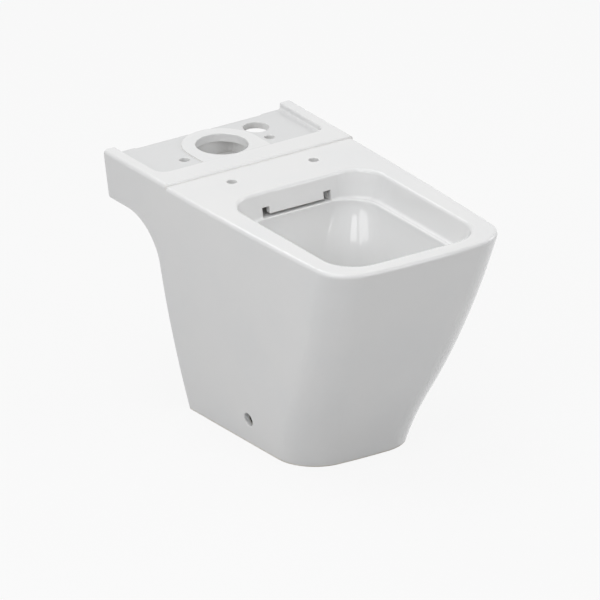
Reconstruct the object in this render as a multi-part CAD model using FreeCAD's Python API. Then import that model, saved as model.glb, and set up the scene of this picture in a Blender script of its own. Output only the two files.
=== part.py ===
import FreeCAD, Part
import math
import os

from FreeCAD import Vector

# Floor-standing toilet pan for a close-coupled cistern, with a rimless bowl and side floor fixing.
# The frame: +X to the right seen from the front, +Y to the wall, +Z up. The origin is on the floor,
# under the middle of the pan. Every size is in millimetres, and a size named FROM_REAR or REAR or
# FRONT runs forward from the plane of the rear face.

# Overall form of the body
RIM_HEIGHT = 400.0
PLATFORM_STEP = 4.0
TOP_WIDTH = 356.6
TOP_LENGTH = 641.0
FRONT_ROUNDING_LOSS = 3.7
FOOT_WIDTH = 229.0
FOOT_FRONT = 463.5
SIDE_BULGE = 3.2
TOP_CORNER_R = 62.0
FOOT_CORNER_R = 70.0
FRONT_BOW_R = 1200.0
TOP_NARROWING = 10.4
FOOT_NARROWING = 1.5
NARROWING_LENGTH = 408.0
EDGE_R = 6.0
REAR_EDGE_R = 2.0
FOOT_EDGE_R = 1.5

# The front leans out as it rises: (share of the platform's height, share of the way out)
FRONT_CURVE = ((-0.06, -0.038), (0.0, 0.0), (0.10, 0.078), (0.33, 0.358),
               (0.60, 0.660), (0.83, 0.870), (1.0, 1.0), (1.06, 1.046))

# Rear edge of the skirt and the overhang under the cistern
SKIRT_REAR_AT_FOOT = 148.0
SKIRT_REAR_BOW = 4.0
SKIRT_REAR_AT_TOP = 126.0
OVERHANG_DEPTH = 79.0
OVERHANG_SWEEP_R = 74.0
OVERHANG_CORNER_R = 5.0

# Walls of the castings
SKIRT_WALL = 11.0
FOOT_WALL = 17.0
FOOT_RIM_HEIGHT = 14.0
BOWL_WALL = 10.0
TOP_THICKNESS = 18.0

# Cistern platform
PLATFORM_FRONT = 172.0
STEP_R = 3.0
RECESS_SIDE_LAND = 22.3
RECESS_FRONT = 127.0
RECESS_DEPTH = 11.0
RECESS_CORNER_R = 18.0
RECESS_FLOOR_R = 4.0
RECESS_EDGE_R = 3.0
REAR_RELIEF_DEPTH = 4.5
REAR_RELIEF_HALF = 117.0
REAR_RELIEF_FLANK = 6.0
FLUSH_HOLE_R = 41.5
FLUSH_HOLE_FROM_REAR = 69.5
PAD_R = 64.0
PAD_RISE = 2.5
PAD_EDGE_R = 1.2
CISTERN_HOLE_SPACING = 161.0
CISTERN_HOLE_FROM_REAR = 83.0
CISTERN_HOLE_R = 8.0
SUPPLY_HOLE_R = 20.5
SUPPLY_HOLE_X = 85.0
SUPPLY_HOLE_FROM_REAR = 39.0
HOLE_MOUTH_R = 1.5

# Seat hinge holes
SEAT_HOLE_SPACING = 155.0
SEAT_HOLE_FROM_REAR = 210.5
SEAT_HOLE_R = 8.0

# Bowl: the band under the rim, the shelf that carries the flush round, and the basin
RIM_SIDE_LAND = 44.3
RIM_FRONT_LAND = 35.5
OPENING_REAR = 271.0
OPENING_REAR_R = 53.0
OPENING_FRONT_R = 56.0
BAND_SIDE_LEAN = 10.0
BAND_REAR_LEAN = 8.5
BAND_FRONT_LEAN = 11.5
BAND_FOOT_R = 5.0
SHELF_DEPTH = 43.0
LEDGE_SIDE_WIDTH = 9.0
LEDGE_REAR_WIDTH = 2.0
LEDGE_FRONT_WIDTH = 16.0
LEDGE_R = 52.0
LIP_R = 3.0
SUMP_CLEARANCE = 18.0
SUMP_HEIGHT = 92.0
SUMP_EASE = 3.0
SUMP_NECK_STEP = 2.0
SUMP_WALL = 11.0
SUMP_ROUNDNESS = 0.92
BASIN_STRAIGHTNESS = 0.55
BASIN_STEPS = 5

# Flush outlet in the back wall of the bowl and the channel that feeds it
TONGUE_HALF = 51.0
JET_WIDTH = 13.5
JET_HEIGHT = 16.5
SLIT_HEIGHT = 5.0
OUTLET_SILL = 1.0
CHANNEL_SIDE_EASE = 6.5
CHANNEL_END_EASE = 2.0
CHANNEL_WALL = 9.0
CHANNEL_FLARE_EASE = 17.5
CHANNEL_CORNER_R = 8.0

# Trapway and waste outlet
TRAP_BORE_R = 38.0
TRAP_WALL = 10.0
THROAT_SETBACK = 62.0
THROAT_DROP = 24.0
CREST_FROM_REAR = 226.0
CREST_HEIGHT = 230.0
DROP_FROM_REAR = 160.0
THROAT_BEND_R = 60.0
CREST_BEND_R = 52.0
OUTLET_BEND_R = 50.0
OUTLET_HEIGHT = 180.0
OUTLET_R = 51.0
SPIGOT_BORE_R = 41.0
SPIGOT_START = 132.0
SPIGOT_END = 70.0
SPIGOT_EDGE_R = 3.0

# Floor fixing on each side, inside the foot
SIDE_HOLE_R = 11.0
SIDE_HOLE_FROM_REAR = 322.0
SIDE_HOLE_HEIGHT = 45.0
SIDE_HOLE_EDGE_R = 1.5
DOWEL_CLEARANCE = 0.2
DOWEL_RECESS = 10.0
BRACKET_GAP = 1.5
BRACKET_HEIGHT = 66.0
BRACKET_HALF_WIDTH = 26.0
BRACKET_UPRIGHT = 16.0
BRACKET_REACH = 46.0
BRACKET_BASE = 9.0
BRACKET_RIB = 6.0
BRACKET_EDGE_R = 3.0
FLOOR_HOLE_R = 4.5
FLOOR_HOLE_INSET = 26.0
FLOOR_HOLE_SPACING = 20.0
SCREW_R = 4.0
SCREW_CLEARANCE = 0.4
SCREW_LENGTH = 32.0
SCREW_HEAD_R = 6.5
SCREW_HEAD_LENGTH = 8.0
SCREW_SOCKET_FLATS = 6.0
SCREW_SOCKET_DEPTH = 4.0
WASHER_R = 8.0
WASHER_THICKNESS = 1.6
NUT_FLATS = 13.0
NUT_HEIGHT = 6.5
NUT_CLEARANCE = 0.1


def front_share(share):
    """Share of the way out that the leaning front has reached at a share of the platform's height."""
    for (low, low_out), (high, high_out) in zip(FRONT_CURVE, FRONT_CURVE[1:]):
        if share <= high:
            break
    return low_out + (high_out - low_out) * (share - low) / (high - low)


# Heights and places that follow from the sizes above
REAR_Y = (TOP_LENGTH - FRONT_ROUNDING_LOSS) / 2.0
PLATFORM_HEIGHT = RIM_HEIGHT + PLATFORM_STEP
TOP_UNDERSIDE = RIM_HEIGHT - TOP_THICKNESS
OVERHANG_UNDERSIDE = RIM_HEIGHT - OVERHANG_DEPTH
RECESS_FLOOR = PLATFORM_HEIGHT - RECESS_DEPTH
RECESS_HALF = TOP_WIDTH / 2.0 - RECESS_SIDE_LAND
OPENING_HALF = TOP_WIDTH / 2.0 - RIM_SIDE_LAND
OPENING_FRONT = TOP_LENGTH - RIM_FRONT_LAND
SHELF_HEIGHT = RIM_HEIGHT - SHELF_DEPTH
RING_UNDERSIDE = SHELF_HEIGHT - BOWL_WALL
BASIN_TOP = SHELF_HEIGHT + BAND_FOOT_R / 2.0
BAND_HALF = OPENING_HALF - BAND_SIDE_LEAN
BAND_REAR = OPENING_REAR + BAND_REAR_LEAN
BAND_FRONT = OPENING_FRONT - BAND_FRONT_LEAN
LEDGE_HALF = BAND_HALF - LEDGE_SIDE_WIDTH
LEDGE_REAR = BAND_REAR + LEDGE_REAR_WIDTH
LEDGE_FRONT = BAND_FRONT - LEDGE_FRONT_WIDTH
SUMP_R = TRAP_BORE_R + SUMP_EASE
SUMP_NECK_R = SUMP_R - SUMP_NECK_STEP
FRONT_AT_SUMP = FOOT_FRONT + (TOP_LENGTH - FOOT_FRONT) * front_share(SUMP_HEIGHT / PLATFORM_HEIGHT)
SUMP_FROM_REAR = FRONT_AT_SUMP - SKIRT_WALL - SUMP_CLEARANCE - SUMP_WALL - SUMP_R
THROAT_FROM_REAR = SUMP_FROM_REAR - THROAT_SETBACK
THROAT_HEIGHT = SUMP_HEIGHT - THROAT_DROP
OUTLET_FLOOR = SHELF_HEIGHT + OUTLET_SILL
OUTLET_HALF = TONGUE_HALF + JET_WIDTH
CHANNEL_HALF = FLUSH_HOLE_R + CHANNEL_SIDE_EASE
CHANNEL_REAR = FLUSH_HOLE_FROM_REAR - FLUSH_HOLE_R - CHANNEL_END_EASE
CHANNEL_FLARE_START = SEAT_HOLE_FROM_REAR + CHANNEL_FLARE_EASE
BEYOND = 50.0
OVERCUT = 1.0
NEAR = 0.001


def at(x, from_rear, z):
    """A point from its distance to the right, forward of the rear face and above the floor."""
    return Vector(x, REAR_Y - from_rear, z)


def line(start, end):
    return Part.LineSegment(start, end).toShape()


def arc(start, middle, end):
    return Part.Arc(start, middle, end).toShape()


def unit(x, y):
    length = math.hypot(x, y)
    return x / length, y / length


def slab(low, high, rear=-BEYOND, front=TOP_LENGTH + BEYOND):
    """A wide box between two heights and two distances from the rear face."""
    corner = at(-TOP_WIDTH, front, low)
    return Part.makeBox(2 * TOP_WIDTH, front - rear, high - low, corner)


def edges_at_height(shape, z, keep=lambda edge: True):
    """The edges of a shape that lie flat at one height and pass a test."""
    found = []
    for edge in shape.Edges:
        box = edge.BoundBox
        if abs(box.ZMin - z) < NEAR and abs(box.ZMax - z) < NEAR and keep(edge):
            found.append(edge)
    return found


def from_rear_of(edge):
    return REAR_Y - edge.CenterOfMass.y


def middle_of(edge):
    return edge.valueAt((edge.FirstParameter + edge.LastParameter) / 2.0)


# Outer form of the body


def side_half(share):
    """Half width of the body at a share of the platform's height."""
    straight = FOOT_WIDTH + (TOP_WIDTH - FOOT_WIDTH) * share
    return straight / 2.0 + 4.0 * SIDE_BULGE * share * (1.0 - share)


def body_outline(share, out_share, inset):
    """Plan outline of the body at one height: straight beside the platform, then narrowing forward."""
    z = share * PLATFORM_HEIGHT
    half = side_half(share) - inset
    front = FOOT_FRONT + (TOP_LENGTH - FOOT_FRONT) * out_share - inset
    corner_r = FOOT_CORNER_R + (TOP_CORNER_R - FOOT_CORNER_R) * share - inset
    narrowing = FOOT_NARROWING + (TOP_NARROWING - FOOT_NARROWING) * max(share, 0.0)
    side_r = NARROWING_LENGTH ** 2 / (2.0 * narrowing) - inset
    front_r = FRONT_BOW_R - inset
    side_centre = (half - side_r, PLATFORM_FRONT)
    front_centre = (0.0, front - front_r)
    corner = tangent_centre(side_centre, side_r - corner_r, front_centre, front_r - corner_r)
    to_side = unit(corner[0] - side_centre[0], corner[1] - side_centre[1])
    to_front = unit(corner[0] - front_centre[0], corner[1] - front_centre[1])

    def right_side(mirror):
        def spot(x, from_rear):
            return at(mirror * x, from_rear, z)

        def on(centre, radius, direction):
            return spot(centre[0] + radius * direction[0], centre[1] + radius * direction[1])

        rear = spot(half, -BEYOND)
        bend = spot(half, PLATFORM_FRONT)
        side_end = on(side_centre, side_r, to_side)
        front_end = on(front_centre, front_r, to_front)
        side_middle = on(side_centre, side_r, unit(1.0 + to_side[0], to_side[1]))
        corner_middle = on(corner, corner_r, unit(to_side[0] + to_front[0], to_side[1] + to_front[1]))
        edges = [line(rear, bend), arc(bend, side_middle, side_end), arc(side_end, corner_middle, front_end)]
        return rear, front_end, edges

    right_rear, right_front, right = right_side(1)
    left_rear, left_front, left = right_side(-1)
    across_front = arc(right_front, at(0.0, front, z), left_front)
    return Part.Wire([line(left_rear, right_rear)] + right + [across_front] + left[::-1])


def tangent_centre(first, first_r, second, second_r):
    """The point at two given distances from two centres, on the outer front side."""
    dx, dy = second[0] - first[0], second[1] - first[1]
    apart = math.hypot(dx, dy)
    along = (first_r ** 2 - second_r ** 2 + apart ** 2) / (2.0 * apart)
    across = math.sqrt(first_r ** 2 - along ** 2)
    ux, uy = dx / apart, dy / apart
    spots = [(first[0] + along * ux - sign * across * uy, first[1] + along * uy + sign * across * ux)
             for sign in (1, -1)]
    return max(spots, key=lambda spot: spot[0] + spot[1])


def body_loft(inset):
    """The body's outer form, or the same form inset by a wall, taller than the pan at both ends."""
    wires = [body_outline(share, out, inset) for share, out in FRONT_CURVE]
    return Part.makeLoft(wires, True, False)


def rear_cutter():
    """Everything behind the skirt's rear edge, under the overhang and behind the rear face."""
    sweep_height = OVERHANG_UNDERSIDE - OVERHANG_SWEEP_R
    sweep_rear = SKIRT_REAR_AT_TOP - OVERHANG_SWEEP_R
    diagonal = OVERHANG_SWEEP_R * math.sqrt(0.5)
    corner = OVERHANG_CORNER_R * (1.0 - math.sqrt(0.5))
    x = -TOP_WIDTH
    foot = at(x, SKIRT_REAR_AT_FOOT, 0.0)
    middle = at(x, (SKIRT_REAR_AT_FOOT + SKIRT_REAR_AT_TOP) / 2.0 - SKIRT_REAR_BOW, sweep_height / 2.0)
    sweep_low = at(x, SKIRT_REAR_AT_TOP, sweep_height)
    sweep_middle = at(x, sweep_rear + diagonal, sweep_height + diagonal)
    sweep_high = at(x, sweep_rear, OVERHANG_UNDERSIDE)
    corner_low = at(x, OVERHANG_CORNER_R, OVERHANG_UNDERSIDE)
    corner_middle = at(x, corner, OVERHANG_UNDERSIDE + corner)
    corner_high = at(x, 0.0, OVERHANG_UNDERSIDE + OVERHANG_CORNER_R)
    top = PLATFORM_HEIGHT + BEYOND
    outside = [corner_high, at(x, 0.0, top), at(x, -2 * BEYOND, top), at(x, -2 * BEYOND, -BEYOND),
               at(x, SKIRT_REAR_AT_FOOT, -BEYOND), foot]
    edges = [arc(foot, middle, sweep_low), arc(sweep_low, sweep_middle, sweep_high),
             line(sweep_high, corner_low), arc(corner_low, corner_middle, corner_high)]
    edges += [line(a, b) for a, b in zip(outside, outside[1:])]
    return Part.Face(Part.Wire(edges)).extrude(Vector(2 * TOP_WIDTH, 0, 0))


# Rounded openings and the bowl


def rounded_box_wire(z, half, rear, front, rear_r, front_r):
    """A plan rectangle with rounded corners, symmetric about the middle plane."""
    k = 1.0 - math.sqrt(0.5)
    points = [
        at(-half + rear_r, rear, z), at(half - rear_r, rear, z),
        at(half - k * rear_r, rear + k * rear_r, z),
        at(half, rear + rear_r, z), at(half, front - front_r, z),
        at(half - k * front_r, front - k * front_r, z),
        at(half - front_r, front, z), at(-half + front_r, front, z),
        at(-half + k * front_r, front - k * front_r, z),
        at(-half, front - front_r, z), at(-half, rear + rear_r, z),
        at(-half + k * rear_r, rear + k * rear_r, z),
    ]
    edges = []
    for i in range(0, 12, 3):
        edges.append(line(points[i], points[i + 1]))
        edges.append(arc(points[i + 1], points[i + 2], points[(i + 3) % 12]))
    return Part.Wire(edges)


def band_wire(z, grow):
    """The wall under the rim at one height, which leans in as it goes down to the shelf."""
    down = (RIM_HEIGHT - z) / SHELF_DEPTH
    return rounded_box_wire(
        z,
        OPENING_HALF + (BAND_HALF - OPENING_HALF) * down + grow,
        OPENING_REAR + (BAND_REAR - OPENING_REAR) * down - grow,
        OPENING_FRONT + (BAND_FRONT - OPENING_FRONT) * down + grow,
        OPENING_REAR_R + grow,
        OPENING_FRONT_R + grow,
    )


def band_form(low, high, grow):
    return Part.makeLoft([band_wire(high, grow), band_wire(low, grow)], True, True)


def basin_form(grow):
    """The basin from the shelf's edge down to the round sump, as a solid grown by a wall."""
    wires = []
    for i in range(-1, BASIN_STEPS + 1):
        down = max(i, 0) / BASIN_STEPS
        inward = BASIN_STRAIGHTNESS * down + (1.0 - BASIN_STRAIGHTNESS) * down ** 2
        z = BASIN_TOP if i < 0 else SHELF_HEIGHT + (SUMP_HEIGHT - SHELF_HEIGHT) * down
        neck = SUMP_NECK_R
        half = LEDGE_HALF + (neck - LEDGE_HALF) * inward
        rear = LEDGE_REAR + (SUMP_FROM_REAR - neck - LEDGE_REAR) * inward
        front = LEDGE_FRONT + (SUMP_FROM_REAR + neck - LEDGE_FRONT) * inward
        ledge_roundness = LEDGE_R / LEDGE_HALF
        corner = half * (ledge_roundness + (SUMP_ROUNDNESS - ledge_roundness) * math.sqrt(down))
        corner += grow
        wires.append(rounded_box_wire(z, half + grow, rear - grow, front + grow, corner, corner))
    return Part.makeLoft(wires, True, False)


def ring_outer():
    """Outside of the flush ring: the band with its wall, from below the shelf up to the top casting."""
    return band_form(RING_UNDERSIDE, TOP_UNDERSIDE, BOWL_WALL)


def bowl_outer():
    """Outside of the bowl: the basin and the sump with their walls, below the flush ring."""
    basin = basin_form(BOWL_WALL).cut(slab(RING_UNDERSIDE, RIM_HEIGHT))
    return basin.fuse(sump_form(SUMP_R + SUMP_WALL))


def sump_form(radius):
    """The round sump, with its poles on the axis of the trapway's first run."""
    centre = at(0, SUMP_FROM_REAR, SUMP_HEIGHT)
    return Part.makeSphere(radius, centre, at(0, THROAT_FROM_REAR, THROAT_HEIGHT) - centre)


def band_void():
    void = band_form(SHELF_HEIGHT, RIM_HEIGHT + OVERCUT, 0.0)
    return void.makeFillet(BAND_FOOT_R, edges_at_height(void, SHELF_HEIGHT))


def flush_outlet():
    """The stepped slot through the ring's back wall: a low centre slit and a taller jet at each end."""
    sill = OUTLET_FLOOR
    tongue = sill + SLIT_HEIGHT
    jet = sill + JET_HEIGHT
    start = OPENING_REAR - 2 * BOWL_WALL
    corners = [(-OUTLET_HALF, sill), (-OUTLET_HALF, jet), (-TONGUE_HALF, jet), (-TONGUE_HALF, tongue),
               (TONGUE_HALF, tongue), (TONGUE_HALF, jet), (OUTLET_HALF, jet), (OUTLET_HALF, sill)]
    points = [at(x, start, z) for x, z in corners]
    face = Part.Face(Part.makePolygon(points + points[:1]))
    return face.extrude(Vector(0, start - LEDGE_REAR - BOWL_WALL, 0))


def flush_ring(outer):
    """The band under the rim, the shelf at its foot and the flush outlet in its back wall."""
    shape = outer.cut(band_void()).cut(basin_form(0.0))
    shape = shape.makeFillet(LIP_R, [edge for edge in shape.Edges if is_shelf_lip(edge)])
    return shape.cut(flush_outlet())


def bowl(outer):
    """The basin and the round sump, open to the trapway."""
    return outer.cut(basin_form(0.0)).cut(sump_form(SUMP_R)).cut(trap_tube(TRAP_BORE_R))


def is_shelf_lip(edge):
    """True for the edges where the basin drops from the shelf."""
    lip = rounded_box_wire(SHELF_HEIGHT, LEDGE_HALF, LEDGE_REAR, LEDGE_FRONT, LEDGE_R, LEDGE_R)
    return lip.distToShape(Part.Vertex(middle_of(edge)))[0] < LIP_R / 2.0


# Trapway


def bent_path(points, radii):
    """Straight runs joined by tangent arcs, in the middle plane, from (from rear, height) points."""
    edges = []
    start = points[0]
    for before, corner, after, radius in zip(points, points[1:], points[2:], radii):
        to_before = unit(before[0] - corner[0], before[1] - corner[1])
        to_after = unit(after[0] - corner[0], after[1] - corner[1])
        between = math.acos(to_before[0] * to_after[0] + to_before[1] * to_after[1])
        reach = radius / math.tan(between / 2.0)
        middle = unit(to_before[0] + to_after[0], to_before[1] + to_after[1])
        to_centre = radius / math.sin(between / 2.0)
        first = (corner[0] + reach * to_before[0], corner[1] + reach * to_before[1])
        second = (corner[0] + reach * to_after[0], corner[1] + reach * to_after[1])
        bulge = to_centre - radius
        top = (corner[0] + bulge * middle[0], corner[1] + bulge * middle[1])
        edges.append(line(at(0, *start), at(0, *first)))
        edges.append(arc(at(0, *first), at(0, *top), at(0, *second)))
        start = second
    edges.append(line(at(0, *start), at(0, *points[-1])))
    return Part.Wire(edges)


def trap_tube(radius):
    """A round bar along the trapway, from the sump over the crest to the spigot."""
    points = [(SUMP_FROM_REAR, SUMP_HEIGHT), (THROAT_FROM_REAR, THROAT_HEIGHT),
              (CREST_FROM_REAR, CREST_HEIGHT), (DROP_FROM_REAR, OUTLET_HEIGHT),
              (SPIGOT_START, OUTLET_HEIGHT)]
    path = bent_path(points, (THROAT_BEND_R, CREST_BEND_R, OUTLET_BEND_R))
    along = at(0, *points[1]) - at(0, *points[0])
    profile = Part.Wire(Part.makeCircle(radius, at(0, *points[0]), along))
    return path.makePipeShell([profile], True, True)


def trapway(outer):
    return trap_tube(TRAP_BORE_R + TRAP_WALL).cut(outer).cut(trap_tube(TRAP_BORE_R))


def outlet_spigot():
    length = SPIGOT_START - SPIGOT_END
    tube = Part.makeCylinder(OUTLET_R, length, at(0, SPIGOT_START, OUTLET_HEIGHT), Vector(0, 1, 0))
    mouth = [edge for edge in tube.Edges if abs(from_rear_of(edge) - SPIGOT_END) < NEAR]
    tube = tube.makeFillet(SPIGOT_EDGE_R, mouth)
    bore = Part.makeCylinder(SPIGOT_BORE_R, length, at(0, SPIGOT_START, OUTLET_HEIGHT), Vector(0, 1, 0))
    return tube.cut(bore)


# Top casting


def rounded_hole(x, from_rear, radius, low, top):
    """A round hole cutter whose mouth flares out with a rounded edge at the top."""
    k = HOLE_MOUTH_R * (1.0 - math.sqrt(0.5))
    centre = at(x, from_rear, 0)

    def spot(r, z):
        return centre + Vector(r, 0, z)

    wide = radius + HOLE_MOUTH_R
    neck = spot(radius, top - HOLE_MOUTH_R)
    mouth = spot(wide, top)
    above = top + OVERCUT
    points = [mouth, spot(wide, above), spot(0, above), spot(0, low), spot(radius, low), neck]
    edges = [arc(neck, spot(radius + k, top - k), mouth)]
    edges += [line(a, b) for a, b in zip(points, points[1:])]
    return Part.Face(Part.Wire(edges)).revolve(centre, Vector(0, 0, 1), 360)


def deck(body):
    """The seat deck and the rim round the bowl, with rounded outer and inner top edges."""
    plate = body.common(slab(TOP_UNDERSIDE, RIM_HEIGHT, rear=PLATFORM_FRONT))
    plate = plate.cut(band_form(SHELF_HEIGHT, RIM_HEIGHT + OVERCUT, 0.0))
    edges = edges_at_height(plate, RIM_HEIGHT, lambda edge: from_rear_of(edge) > PLATFORM_FRONT + NEAR)
    return plate.makeFillet(EDGE_R, edges)


def step_rounding():
    """Cutter that rounds the platform's front top edge."""
    k = STEP_R * (1.0 - math.sqrt(0.5))
    x = -TOP_WIDTH
    top, front = PLATFORM_HEIGHT, PLATFORM_FRONT
    start = at(x, front - STEP_R, top)
    end = at(x, front, top - STEP_R)
    ahead, above = front + OVERCUT, top + OVERCUT
    points = [end, at(x, ahead, top - STEP_R), at(x, ahead, above), at(x, front - STEP_R, above), start]
    edges = [arc(start, at(x, front - k, top - k), end)]
    edges += [line(a, b) for a, b in zip(points, points[1:])]
    return Part.Face(Part.Wire(edges)).extrude(Vector(2 * TOP_WIDTH, 0, 0))


def recess_cutter():
    """The cistern's recess, open to the rear, with rounded corners and a rounded foot to its walls."""
    corner = RECESS_CORNER_R
    wire = rounded_box_wire(RECESS_FLOOR, RECESS_HALF, -BEYOND, RECESS_FRONT, corner, corner)
    block = Part.Face(wire).extrude(Vector(0, 0, RECESS_DEPTH + BEYOND))
    return block.makeFillet(RECESS_FLOOR_R, edges_at_height(block, RECESS_FLOOR))


def platform(body):
    block = body.common(slab(TOP_UNDERSIDE, PLATFORM_HEIGHT, front=PLATFORM_FRONT))
    block = block.cut(rear_cutter())
    sides = edges_at_height(block, PLATFORM_HEIGHT, lambda edge: abs(middle_of(edge).x) > RECESS_HALF)
    block = block.makeFillet(EDGE_R, sides).cut(step_rounding()).cut(recess_cutter())
    rim = edges_at_height(block, PLATFORM_HEIGHT, is_recess_rim)
    return block.makeFillet(RECESS_EDGE_R, rim)


def is_recess_rim(edge):
    """True for the top edges of the recess's side and front walls."""
    middle = middle_of(edge)
    return abs(middle.x) < RECESS_HALF + NEAR and REAR_Y - middle.y < RECESS_FRONT + NEAR


def flush_pad():
    """The low raised seat round the flush hole, which runs forward to the recess's wall."""
    low, high = RECESS_FLOOR - OVERCUT, RECESS_FLOOR + PAD_RISE
    disc = Part.makeCylinder(PAD_R, high - low, at(0, FLUSH_HOLE_FROM_REAR, low))
    ahead = RECESS_FRONT + RECESS_FLOOR_R - FLUSH_HOLE_FROM_REAR
    tail = Part.makeBox(2 * PAD_R, ahead, high - low, at(-PAD_R, RECESS_FRONT + RECESS_FLOOR_R, low))
    pad = disc.fuse(tail).removeSplitter()
    edges = edges_at_height(pad, high, lambda edge: from_rear_of(edge) < RECESS_FRONT)
    return pad.makeFillet(PAD_EDGE_R, edges)


def rear_relief():
    """A shallow flat taken out of the rear face, so that only its ends meet the wall."""
    wide = REAR_RELIEF_HALF + REAR_RELIEF_FLANK
    half, depth = REAR_RELIEF_HALF, REAR_RELIEF_DEPTH
    corners = [(-wide, 0.0), (-half, depth), (half, depth), (wide, 0.0), (wide, -BEYOND), (-wide, -BEYOND)]
    points = [at(x, from_rear, TOP_UNDERSIDE - OVERCUT) for x, from_rear in corners]
    face = Part.Face(Part.makePolygon(points + points[:1]))
    return face.extrude(Vector(0, 0, TOP_THICKNESS + BEYOND))


def rim_and_deck(body):
    shape = platform(body).fuse(deck(body)).fuse(flush_pad()).cut(rear_relief())
    low = TOP_UNDERSIDE - OVERCUT
    holes = [rounded_hole(0, FLUSH_HOLE_FROM_REAR, FLUSH_HOLE_R, low, RECESS_FLOOR + PAD_RISE),
             rounded_hole(SUPPLY_HOLE_X, SUPPLY_HOLE_FROM_REAR, SUPPLY_HOLE_R, low, RECESS_FLOOR)]
    for side in (-1, 1):
        holes.append(rounded_hole(side * CISTERN_HOLE_SPACING / 2.0, CISTERN_HOLE_FROM_REAR, CISTERN_HOLE_R,
                                  low, RECESS_FLOOR))
        holes.append(rounded_hole(side * SEAT_HOLE_SPACING / 2.0, SEAT_HOLE_FROM_REAR, SEAT_HOLE_R,
                                  low, RIM_HEIGHT))
    for hole in holes:
        shape = shape.cut(hole)
    return shape.makeFillet(REAR_EDGE_R, [edge for edge in shape.Edges if is_platform_rear_corner(edge)])


def is_platform_rear_corner(edge):
    """True for the two upright edges at the ends of the platform's rear face."""
    middle = middle_of(edge)
    at_end = abs(middle.y - REAR_Y) < NEAR and abs(middle.x) > RECESS_HALF + RECESS_EDGE_R
    return at_end and abs(edge.BoundBox.ZMin - TOP_UNDERSIDE) < NEAR and edge.BoundBox.ZLength > EDGE_R


# Skirt


def outer_skirt(body):
    shell = body.common(slab(0.0, TOP_UNDERSIDE)).cut(rear_cutter())
    shell = shell.cut(body_loft(SKIRT_WALL).common(slab(FOOT_RIM_HEIGHT, TOP_UNDERSIDE + OVERCUT)))
    shell = shell.cut(body_loft(FOOT_WALL).common(slab(-OVERCUT, FOOT_RIM_HEIGHT)))
    shell = shell.cut(rod(1, TOP_WIDTH, -TOP_WIDTH, SIDE_HOLE_R))
    shell = shell.makeFillet(SIDE_HOLE_EDGE_R, [edge for edge in shell.Edges if is_side_hole_mouth(edge)])
    shell = shell.makeFillet(REAR_EDGE_R, [edge for edge in shell.Edges if is_skirt_rear_edge(edge)])
    return shell.makeFillet(FOOT_EDGE_R, edges_at_height(shell, 0.0))


def is_skirt_rear_edge(edge):
    """True for the long edges round the open back of the skirt, outside and inside the wall."""
    middle = middle_of(edge)
    depth = side_half(middle.z / PLATFORM_HEIGHT) - abs(middle.x)
    behind = REAR_Y - middle.y < SKIRT_REAR_AT_FOOT
    across_wall = abs(depth - SKIRT_WALL / 2.0) < SKIRT_WALL / 4.0
    return behind and not across_wall and FOOT_RIM_HEIGHT < middle.z < TOP_UNDERSIDE - OVERCUT


def is_side_hole_mouth(edge):
    """True for the outer edges of the two fixing holes in the foot."""
    centre = edge.CenterOfMass
    near = math.hypot(from_rear_of(edge) - SIDE_HOLE_FROM_REAR, centre.z - SIDE_HOLE_HEIGHT) < SIDE_HOLE_R
    return near and edge.Length < 8 * SIDE_HOLE_R and abs(centre.x) > side_hole_face() - SKIRT_WALL / 2.0


def side_hole_face():
    """How far out the skirt's face is at the height of the fixing holes."""
    return side_half(SIDE_HOLE_HEIGHT / PLATFORM_HEIGHT)


# Flush channel


def channel_outline(grow, rear, front):
    """Plan of the channel: narrow past the cistern bolts and hinge bolts, flared to the outlet."""
    half, wide = CHANNEL_HALF + grow, OUTLET_HALF + grow
    right = [(half, rear), (half, CHANNEL_FLARE_START), (wide, BAND_REAR - BOWL_WALL), (wide, front)]
    return right + [(-x, from_rear) for x, from_rear in reversed(right)]


def channel_block(grow, low, high, rear, front):
    points = [at(x, from_rear, low) for x, from_rear in channel_outline(grow, rear, front)]
    block = Part.Face(Part.makePolygon(points + points[:1])).extrude(Vector(0, 0, high - low))
    upright = [edge for edge in block.Edges if edge.BoundBox.ZLength > (high - low) / 2.0]
    corners = [edge for edge in upright if abs(from_rear_of(edge) - rear) < NEAR]
    return block.makeFillet(CHANNEL_CORNER_R + grow, corners)


def flush_channel(outer):
    floor = OUTLET_FLOOR
    wall = CHANNEL_WALL
    block = channel_block(wall, floor - wall, TOP_UNDERSIDE, CHANNEL_REAR - wall, BAND_REAR)
    void = channel_block(0.0, floor, TOP_UNDERSIDE + OVERCUT, CHANNEL_REAR, BAND_REAR + OVERCUT)
    return block.cut(void).cut(outer)


# Floor fixing


def hexagon(flats, height, start, side):
    """A hexagonal bar that runs inward from a point on the screw's axis."""
    radius = flats / math.sqrt(3.0)
    angles = [math.radians(60 * i) for i in range(7)]
    points = [start + Vector(0, radius * math.cos(angle), radius * math.sin(angle)) for angle in angles]
    return Part.Face(Part.makePolygon(points)).extrude(Vector(-side * height, 0, 0))


def on_axis(side, x):
    return at(side * x, SIDE_HOLE_FROM_REAR, SIDE_HOLE_HEIGHT)


def rod(side, outer_x, inner_x, radius):
    """A round bar on the axis of a fixing hole."""
    return Part.makeCylinder(radius, outer_x - inner_x, on_axis(side, outer_x), Vector(-side, 0, 0))


def bracket_face():
    """Distance from the middle plane to the bracket's outer face."""
    return FOOT_WIDTH / 2.0 - FOOT_WALL - BRACKET_GAP


def head_seat():
    """Distance from the middle plane to the underside of the screw's washer."""
    return dowel_end() - SCREW_HEAD_LENGTH - WASHER_THICKNESS


def dowel_end():
    return side_hole_face() - DOWEL_RECESS


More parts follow.
